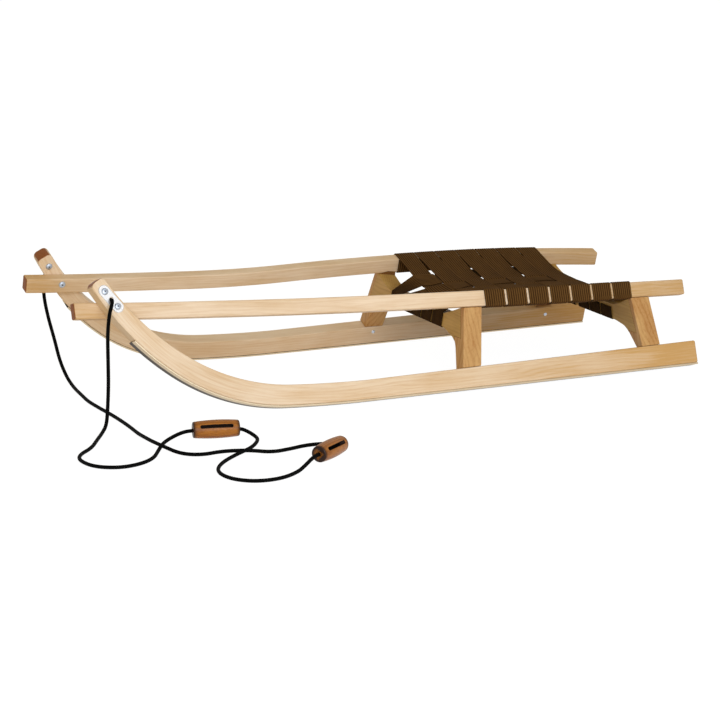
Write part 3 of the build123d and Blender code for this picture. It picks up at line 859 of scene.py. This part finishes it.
def make_plank(node, end, slot, upright):
    """The solid's own shape with rounded edges. Its fibres run up or across."""
    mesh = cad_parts[node].data.copy()
    shape = bmesh.new()
    shape.from_mesh(mesh)
    bmesh.ops.remove_doubles(shape, verts=shape.verts, dist=JOIN_REACH)
    bmesh.ops.dissolve_limit(shape, angle_limit=FLAT, verts=shape.verts, edges=shape.edges)
    sharp = [line for line in shape.edges if len(line.link_faces) == 2
             and line.calc_face_angle() > SHARP]
    bmesh.ops.bevel(shape, geom=sharp, offset=PLANK_EDGE, segments=3, profile=0.5, affect="EDGES",
                    clamp_overlap=True)
    shape.to_mesh(mesh)
    shape.free()
    up, front = plank_up(end)
    layer = mesh.attributes.new("grain", "FLOAT_VECTOR", "POINT")
    for vertex in mesh.vertices:
        height, depth, across = vertex.co.dot(up), vertex.co.dot(front), vertex.co.y
        place = (height, across, depth) if upright else (across + CROSSPIECE_GRAIN, height, depth)
        layer.data[vertex.index].vector = place
    for face in mesh.polygons:
        face.use_smooth = True
    fibres = up if upright else Vector((0, 1, 0))
    mark_ends(mesh, lambda run: fibres)
    weigh_normals(new_piece(f"{node}_wood", mesh, slot, node))


# Webbing

def side_point(out, up):
    """Half-width and height of a point of the side frame."""
    return STANCE_HALF + out * cos(LEAN) - up * sin(LEAN), out * sin(LEAN) + up * cos(LEAN)


def seat_middle(x):
    """Height of the webbing's underside on the centre line."""
    place = (FIRST_STRAP_FRONT - x) / STRAP_PITCH
    number = max(0, min(int(place), len(SEAT_MIDDLES) - 2))
    share = place - number
    return SEAT_MIDDLES[number] * (1 - share) + SEAT_MIDDLES[number + 1] * share


def seat_height(x, y):
    """Underside of the webbing: straight in from the rail's top, then an arc to the middle."""
    edge_y, edge_z = side_point(rail_outside(x) - RAIL_WIDTH, rail_top(x) + SEAT_GAP)
    drop = edge_z - seat_middle(x)
    straight = (drop - edge_y * tan(LEAN / 2)) / (tan(LEAN) - tan(LEAN / 2))
    bend = edge_y - straight
    if abs(y) > bend:
        return edge_z - (edge_y - abs(y)) * tan(LEAN)
    return seat_middle(x) + arc_drop(abs(y), bend / sin(LEAN))


def weave(cross_number, long_number):
    """1 where the cross strap passes over the lengthwise strap, -1 where it passes under."""
    return 1 if (cross_number + long_number) % 2 else -1


WEAVE_SHIFT = (BAND_THICKNESS + SEAT_GAP) / 2
# Places across a strap's width, as shares of it
STRAP_SHARES = [step / (RIBS * RIB_STEPS) for step in range(RIBS * RIB_STEPS + 1)]


def stepped(place, levels):
    """A smooth line through level stretches (start, end, height), in rising order."""
    for (_, end, height), (start, _, following) in zip(levels, levels[1:]):
        if end < place < start:
            return height + (following - height) * smooth((place - end) / (start - end))
    for start, end, height in levels:
        if start <= place <= end:
            return height
    return levels[0][2] if place < levels[0][0] else levels[-1][2]


def folded(corners, radius, runs):
    """A strap's line through corners, each folded round by `radius`: runs[i] steps on each run."""
    points = [Vector(corners[0])]
    for index in range(1, len(corners) - 1):
        before, here, after = (Vector(corners[place]) for place in (index - 1, index, index + 1))
        run_in = (here - before).normalized()
        run_out = (after - here).normalized()
        turn = run_in.angle(run_out)
        reach = radius * tan(turn / 2)
        start, end = here - run_in * reach, here + run_out * reach
        last = points[-1]
        for step in range(1, runs[index - 1] + 1):
            points.append(last.lerp(start, step / runs[index - 1]))
        middle = here + (run_out - run_in).normalized() * radius / cos(turn / 2)
        for step in range(1, TURN_STEPS + 1):
            arm = (start - middle).slerp(end - middle, step / TURN_STEPS).normalized()
            points.append(middle + arm * radius)
    last = points[-1]
    for step in range(1, runs[-1] + 1):
        points.append(last.lerp(Vector(corners[-1]), step / runs[-1]))
    return points


def ribbon(node, columns, painted_shades=None):
    """A ribbed band through columns of points: one column for each place across its width.

    The painted shades scale how light the webbing is at each row of points: painted shade where it
    lies in shade.
    """
    rows = len(columns[0])
    wide = len(columns)
    painted_shades = painted_shades or [1.0] * rows
    upper, lower, layer = [], [], []
    middle = columns[wide // 2]
    run = [0.0]
    for first, second in zip(middle, middle[1:]):
        run.append(run[-1] + (second - first).length)
    for row in range(rows):
        for column in range(wide):
            here = columns[column][row]
            along = columns[column][min(row + 1, rows - 1)] - columns[column][max(row - 1, 0)]
            across = columns[min(column + 1, wide - 1)][row] - columns[max(column - 1, 0)][row]
            normal = across.cross(along).normalized()
            share = column / (wide - 1)
            rib = 0.5 - 0.5 * cos(2 * pi * RIBS * share)
            # Thin at the selvedges and between the ribs, and darkened there with painted shade
            selvedge = column in (0, wide - 1)
            half = BAND_THICKNESS / 2 * (0.45 if selvedge else 0.70 + 0.30 * rib)
            upper.append(here + normal * half)
            lower.append(here - normal * half)
            light = 0.2 if selvedge else 0.06 + 0.84 * rib**1.3
            layer.append((run[row], share * STRAP_WIDTH, light * painted_shades[row]))
    count = rows * wide
    faces = []
    for row in range(rows - 1):
        for column in range(wide - 1):
            a = row * wide + column
            faces.append((a, a + 1, a + wide + 1, a + wide))
            faces.append((count + a, count + a + wide, count + a + wide + 1, count + a + 1))
        left = row * wide
        right = left + wide - 1
        faces.append((left, left + wide, count + left + wide, count + left))
        faces.append((right + wide, right, count + right, count + right + wide))
    for start in (0, (rows - 1) * wide):
        for column in range(wide - 1):
            a = start + column
            faces.append((a, count + a, count + a + 1, a + 1))
    name = f"{node}_band"
    new_piece(name, new_mesh(name, upper + lower, faces, weave=layer + layer), "webbing", node)


def cross_strap_half(x):
    """The turn round the left rail at x, from its hidden end to the rail's inner top edge."""
    outside, top = rail_outside(x), rail_top(x)
    low_out, high_out = outside - RAIL_WIDTH - STRAP_RIDE, outside + STRAP_RIDE
    low_up, high_up = top - RAIL_HEIGHT - STRAP_RIDE, top + STRAP_RIDE
    corners = [(low_out, top - STRAP_RIDE), (low_out, low_up), (high_out, low_up),
               (high_out, high_up), (outside - RAIL_WIDTH, high_up)]
    line = folded(corners, RAIL_EDGE + STRAP_RIDE, (8, 6, 9, 6))
    return [side_place(x, up, out, 1) for out, up in line]


def slit_closing(gap, y):
    """How far the two straps beside a gap draw in over it: fully in the seat, not at the rails."""
    if not 0 <= gap < CROSS_STRAPS - 1:
        return 0.0
    start, end = RAIL_CLOSING
    closing = SLIT_HALF * smooth((-start - y) / (end - start))
    if y < 0:
        start, end = SLITS.get(gap, RAIL_CLOSING)
        closing = min(closing, SLIT_HALF * smooth((y - start) / (end - start)))
        closing = max(closing, RIGHT_HALF * smooth((RAIL_CLOSING[1] - y) / RIGHT_FADE))
        if gap in NARROW_SLITS:
            start, end = NARROW_PLACES
            closing = max(closing, NARROW_HALF * smooth((end - y) / (end - start)))
    return closing


def make_cross_strap(number):
    front = FIRST_STRAP_FRONT - number * STRAP_PITCH
    half = STRAP_WIDTH / 2
    levels = [(middle - half, middle + half, weave(number, item) * WEAVE_SHIFT)
              for item, middle in enumerate(LONG_MIDDLES)]

    def drawn(share, y):
        """How far forwards the strap draws, to lie over the gaps beside it."""
        return slit_closing(number - 1, y) * (1 - share) - slit_closing(number, y) * share

    columns = []
    for share in STRAP_SHARES:
        x = front - share * STRAP_WIDTH
        left = cross_strap_half(x)
        edge_y = left[-1].y
        ends = [(-edge_y, -edge_y, 0.0), *levels, (edge_y, edge_y, 0.0)]
        seat = []
        for step in range(1, SEAT_STEPS):
            y = edge_y * (1 - 2 * step / SEAT_STEPS)
            place = x + drawn(share, y)
            height = seat_height(place, y) + stepped(y, ends) + BAND_THICKNESS / 2
            seat.append(Vector((place - HALF_LENGTH, y, height)))
        shift = drawn(share, -edge_y)
        right = [Vector((point.x + shift, -point.y, point.z)) for point in reversed(left)]
        columns.append(left + seat + right)
    ribbon(f"cross_strap_{number + 1}", columns)


def crosspiece_wrap(end):
    """The x and z of a lengthwise strap's turn round a crosspiece, from its hidden end."""
    face, tilt, thickness, top, arch = CROSSPIECES[end]
    up, front = plank_up(end)
    forward, rise = Vector((front.x, front.z)), Vector((up.x, up.z)) * STRAP_RIDE

    def corner(side, height):
        """A corner of the plank, moved out to the strap's middle."""
        place = Vector((face - height * tan(tilt), height))
        if side == "back":
            return place - forward * thickness - forward * STRAP_RIDE
        return place + forward * STRAP_RIDE

    near, far = ("back", "front") if end == "front" else ("front", "back")
    return [corner(near, top) - rise * 4, corner(near, arch) - rise,
            corner(far, arch) - rise, corner(far, top) + rise * 0.6]


def long_places():
    """Places along the seat, with their step at each cross strap and each gap between two."""
    places = []
    for number in range(CROSS_STRAPS):
        front = FIRST_STRAP_FRONT - number * STRAP_PITCH
        places += [front - STRAP_WIDTH * step / STRAP_STEPS for step in range(STRAP_STEPS + 1)]
        if number < CROSS_STRAPS - 1:
            gap = STRAP_PITCH - STRAP_WIDTH
            places += [front - STRAP_WIDTH - gap * step / GAP_STEPS
                       for step in range(1, GAP_STEPS)]
    return places


def stray(number, x):
    """How far a lengthwise strap lies to the right of its own middle at x."""
    if number >= len(STRAYS):
        return 0.0
    start, end = STRAY_PLACES
    return STRAYS[number] * smooth((start - x) / (start - end))


def painted_wrap_shades(first, seat, last):
    """How light each point of a lengthwise strap is painted, for the counts of its three stretches:
    painted shade on its turns round the crosspieces.
    """
    painted_shades = [WRAP_PAINTED_SHADE] * first + [1.0] * seat + [WRAP_PAINTED_SHADE] * last
    for step in range(1, PAINTED_SHADE_STEPS):
        shade = WRAP_PAINTED_SHADE + (1 - WRAP_PAINTED_SHADE) * step / PAINTED_SHADE_STEPS
        painted_shades[first - PAINTED_SHADE_STEPS + step] = shade
        painted_shades[first + seat + PAINTED_SHADE_STEPS - 1 - step] = shade
    return painted_shades


def make_long_strap(number):
    levels = []
    for item in reversed(range(CROSS_STRAPS)):
        front = FIRST_STRAP_FRONT - item * STRAP_PITCH
        levels.append((front - STRAP_WIDTH, front, -weave(item, number) * WEAVE_SHIFT))
    front_wrap, rear_wrap = crosspiece_wrap("front"), crosspiece_wrap("rear")
    fold = PLANK_EDGE + STRAP_RIDE
    runs = (8, 8, 8, 6)
    columns = []
    for share in STRAP_SHARES:
        y = LONG_MIDDLES[number] + (share - 0.5) * STRAP_WIDTH
        seat = []
        for x in long_places():
            height = seat_height(x, y) + stepped(x, levels) + BAND_THICKNESS / 2
            seat.append(Vector((x, height)))
        first = folded([*front_wrap, seat[0]], fold, runs)
        last = folded([*rear_wrap, seat[-1]], fold, runs)
        columns.append([Vector((point.x - HALF_LENGTH, y - stray(number, point.x), point.y))
                        for point in first + seat[1:-1] + last[::-1]])
    # Painted shade on the strap's turns round the crosspieces, where shade falls under the seat
    painted_shades = painted_wrap_shades(len(first), len(seat) - 2, len(last))
    ribbon(f"long_strap_{number + 1}", columns, painted_shades)


# Rope and grips

def rope_line(name):
    """Points along the rope's own smooth line."""
    curve = bpy.data.curves.new(f"{name}_line", "CURVE")
    curve.dimensions = "3D"
    curve.resolution_u = ROPE_STEPS
    spline = curve.splines.new("NURBS")
    spline.points.add(len(ROUTES[name]) - 1)
    for point, place in zip(spline.points, ROUTES[name]):
        point.co = (*place, 1.0)
    spline.order_u = 3
    spline.use_endpoint_u = True
    carrier = bpy.data.objects.new(f"{name}_line", curve)
    scene.collection.objects.link(carrier)
    bpy.context.view_layer.update()
    mesh = bpy.data.meshes.new_from_object(carrier)
    points = [vertex.co.copy() for vertex in mesh.vertices]
    bpy.data.objects.remove(carrier)
    bpy.data.meshes.remove(mesh)
    return points


def rope_mesh(name, line):
    """A braided tube round the line: each cell of the braid is one strand's rise to the surface."""
    radius = ROPE_DIAMETER / 2
    rings, layer = [], []
    lying = abs((line[1] - line[0]).normalized().z) < 0.9
    side = Vector((0, 0, 1)) if lying else Vector((1, 0, 0))
    run = 0.0
    for index, point in enumerate(line):
        along = (line[min(index + 1, len(line) - 1)] - line[max(index - 1, 0)]).normalized()
        side = (side - along * side.dot(along)).normalized()
        other = along.cross(side)
        if index:
            run += (point - line[index - 1]).length
        ring = []
        for step in range(ROPE_AROUND):
            turn = step / ROPE_AROUND
            first = turn * BRAID_CELLS + run / BRAID_PITCH
            second = turn * BRAID_CELLS - run / BRAID_PITCH
            rise = (abs(sin(pi * first)) * abs(sin(pi * second))) ** 0.6
            out = radius * (0.94 + 0.06 * rise)
            angle = turn * 2 * pi
            ring.append(point + side * cos(angle) * out + other * sin(angle) * out)
            # The braid's third value is painted shade: dark in the grooves between strands
            layer.append((run, turn, 0.1 + 0.9 * rise))
        rings.append(ring)
    return rings_mesh(name, rings, braid=layer)


def make_grip(name):
    """A turned barrel of wood, with a slot from its side to its middle and a bore through it."""
    x, y, turn, slot_turn = GRIPS[name]
    half = GRIP_LENGTH / 2
    length = GRIP_LENGTH - 2 * GRIP_EDGE
    first, last = round_rows(GRIP_LENGTH, GRIP_EDGE)
    body = [(GRIP_EDGE + length * step / GRIP_STEPS, 0.0) for step in range(1, GRIP_STEPS)]
    direction = Vector((cos(turn), sin(turn), 0))
    sideways = Vector((-sin(turn), cos(turn), 0))
    centre = Vector((x, y, GRIP_HEIGHT))
    rings, grain, ends = [], [], []
    for place, inset in first + body + last:
        share = (place - half) / half
        radius = GRIP_END / 2 + (GRIP_MIDDLE - GRIP_END) / 2 * (1 - share**2) - inset
        from_end = min(place, GRIP_LENGTH - place)
        fading = min(max(1.0 - (from_end - 0.4 * GRIP_EDGE) / GRIP_END_FADE, 0.0), 1.0)
        middle = centre + direction * (place - half)
        ring = []
        for step in range(GRIP_AROUND):
            angle = step / GRIP_AROUND * 2 * pi
            across, up = radius * cos(angle), radius * sin(angle)
            ring.append(middle + sideways * across + Vector((0, 0, up)))
            grain.append((place, across, up))
            ends.append(fading**1.5)
        rings.append(ring)
    mesh = rings_mesh(f"{name}_wood", rings, grain=grain, end=ends)
    piece = new_piece(f"{name}_wood", mesh, "grip_wood", name)
    mesh.materials.append(MATERIALS["recess_painted_shade"])
    tilt = Vector((0, 0, cos(slot_turn))) - sideways * sin(slot_turn)
    flank = direction.cross(tilt)
    cut_stadium(piece, centre, (direction, flank, tilt), GRIP_SLOT, (0.0, SLOT_CUT))
    cut_stadium(piece, centre, (tilt, flank, direction), (GRIP_BORE, GRIP_BORE),
                (-BORE_CUT, BORE_CUT))
    return piece


def cut_stadium(piece, centre, ways, sizes, depths):
    """Cuts a slot with round ends out of a piece, and gives the cut a painted shade.

    The ways are the directions of the slot's length, width and depth, and the sizes its length and
    width.
    """
    long_way, wide_way, deep_way = ways
    length, width = sizes
    outline = []
    reach = (length - width) / 2
    for step in range(SLOT_AROUND):
        angle = step / SLOT_AROUND * 2 * pi
        shift = reach if cos(angle) > 0 else -reach
        along = long_way * (shift + width / 2 * cos(angle))
        outline.append(along + wide_way * width / 2 * sin(angle))
    rings = [[centre + point + deep_way * depth for point in outline] for depth in depths]
    grain = [(depth, 0.0, step / SLOT_AROUND) for depth in depths for step in range(SLOT_AROUND)]
    mesh = rings_mesh("cutter", rings, grain=grain)
    mesh.materials.append(MATERIALS["recess_painted_shade"])
    for face in mesh.polygons:
        face.use_smooth = False
    cutter = bpy.data.objects.new("cutter", mesh)
    scene.collection.objects.link(cutter)
    modifier = piece.modifiers.new("cut", "BOOLEAN")
    modifier.operation = "DIFFERENCE"
    modifier.solver = "EXACT"
    modifier.material_mode = "TRANSFER"
    modifier.object = cutter
    bpy.context.view_layer.update()
    depsgraph = bpy.context.evaluated_depsgraph_get()
    result = bpy.data.meshes.new_from_object(piece.evaluated_get(depsgraph))
    piece.modifiers.remove(modifier)
    piece.data = result
    bpy.data.objects.remove(cutter)


def make_ropes():
    grips = {name: make_grip(name) for name in GRIPS}
    for name, (length, grip) in ROPES.items():
        line = rope_line(name)
        measured = sum((second - first).length for first, second in zip(line, line[1:]))
        print(name, "measures", round(measured, 4), "of", length)
        piece = new_piece(f"{name}_braid", rope_mesh(f"{name}_braid", line), "rope", name)


# Plates and bolts

def horn_place(along, out, side):
    """A point over the plate's long axis."""
    x = PLATE_X + along * cos(PLATE_TURN)
    up = PLATE_UP + along * sin(PLATE_TURN)
    return side_place(x, up, out, side)


def make_bolt(node, side, along, inner):
    """A bolt with a low domed head, a shank and a domed nut, each with a cross recess."""
    name = f"{node}_steel"
    outer = RUNNER_WIDTH + PLATE_THICKNESS
    nut = [(BOLT_NUT * share, inner - rise) for share, rise in reversed(NUT_DOME)]
    head = [(BOLT_HEAD * share, outer + rise) for share, rise in HEAD_DOME]
    profile = [(TIP_RADIUS, inner - NUT_RISE), *nut, (BOLT_SHANK, inner),
               (BOLT_SHANK, outer), *head, (TIP_RADIUS, outer + HEAD_RISE)]
    centre = horn_place(along, 0.0, side)
    outward = (horn_place(along, 1.0, side) - centre).normalized()
    first = (horn_place(along + 1.0, 0.0, side) - centre).normalized()
    second = outward.cross(first)
    mesh = turned_mesh(name, profile, centre, outward, first, BOLT_AROUND)
    piece = new_piece(name, mesh, "bolt_steel", node)
    mesh.materials.append(MATERIALS["recess_painted_shade"])
    for place, depths in ((outer, HEAD_RECESS), (inner, NUT_RECESS)):
        middle = centre + outward * place
        for ways in ((first, second, outward), (second, first, outward)):
            cut_stadium(piece, middle, ways, RECESS_SIZES, depths)
    piece.data.set_sharp_from_angle(angle=CREASE)


def make_horn_fittings():
    for label, side in SIDES.items():
        make_bolt(f"{label}_rail_bolt", side, -BOLT_OFFSET, -SEAT_GAP - RAIL_WIDTH)
        make_bolt(f"{label}_horn_bolt", side, BOLT_OFFSET, 0.0)
        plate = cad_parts[f"{label}_horn_plate"]
        plate.data.materials.clear()
        plate.data.materials.append(MATERIALS["plate_metal"])


def make_screw(name, side, x):
    """The domed head of a screw that holds a leg through the runner, on the inner face."""
    centre = side_place(x, SCREW_UP, 0.0, side)
    inward = (side_place(x, SCREW_UP, -1.0, side) - centre).normalized()
    first = (side_place(x + 1.0, SCREW_UP, 0.0, side) - centre).normalized()
    mesh = turned_mesh(name, SCREW_PROFILE, centre, inward, first, SCREW_AROUND)
    piece = new_piece(name, mesh, "bolt_steel")
    piece.data.set_sharp_from_angle(angle=CREASE)


# Floor, backdrop and light

def make_stage():
    reach = FLOOR_REACH
    corners = [(-reach, -reach, 0), (reach, -reach, 0), (reach, reach, 0), (-reach, reach, 0)]
    mesh = bpy.data.meshes.new("floor")
    mesh.from_pydata(corners, [], [(0, 1, 2, 3)])
    floor = bpy.data.objects.new("floor", mesh)
    scene.collection.objects.link(floor)
    material = bpy.data.materials.new("floor")
    material.use_nodes = True
    material.node_tree.nodes.clear()
    tree = Tree(material.node_tree)
    pale = tree.node("ShaderNodeBsdfDiffuse", {"Color": FLOOR_COLOUR}).outputs[0]
    faint = tree.node("ShaderNodeBsdfDiffuse", {"Color": FLOOR_SHADOW}).outputs[0]
    white = tree.node("ShaderNodeEmission", {"Strength": FLOOR_WHITE}).outputs[0]
    shown = tree.node("ShaderNodeAddShader", {0: faint, 1: white}).outputs[0]
    tree.choose("ShaderNodeOutputMaterial", pale, shown)
    mesh.materials.append(material)


def make_world():
    world = bpy.data.worlds.new("world")
    scene.world = world
    world.use_nodes = True
    world.node_tree.nodes.clear()
    tree = Tree(world.node_tree)
    inputs = {"Color": WORLD_COLOUR, "Strength": WORLD_STRENGTH}
    soft = tree.node("ShaderNodeBackground", inputs).outputs[0]
    white = tree.node("ShaderNodeBackground", {"Strength": 1.0}).outputs[0]
    tree.choose("ShaderNodeOutputWorld", soft, white)


def make_lamp(name, azimuth, elevation, distance, size, power, colour):
    """An area light that looks at the sled from a direction."""
    data = bpy.data.lights.new(name, "AREA")
    data.shape = "DISK"
    data.size = size
    data.energy = power
    data.color = colour
    lamp = bpy.data.objects.new(name, data)
    scene.collection.objects.link(lamp)
    place_around(lamp, LAMP_AIM, azimuth, elevation, distance)


make_camera()
MATERIALS = make_materials()
make_ropes()
for label, side in SIDES.items():
    make_runner(f"{label}_runner", side)
    make_strip(f"{label}_running_strip", side)
    make_rail(f"{label}_seat_rail", side)
for end in CROSSPIECES:
    make_plank(f"{end}_crosspiece", end, "yoke_wood", False)
    for label in SIDES:
        make_plank(f"{label}_{end}_leg", end, "leg_wood", True)
for number in range(CROSS_STRAPS):
    make_cross_strap(number)
for number in range(len(LONG_MIDDLES)):
    make_long_strap(number)
make_horn_fittings()
for label, side in SIDES.items():
    for place, x in SCREWS.items():
        make_screw(f"{label}_{place}_leg_screw", side, x)
make_stage()
make_world()
for name, settings in LAMPS.items():
    make_lamp(name, *settings)
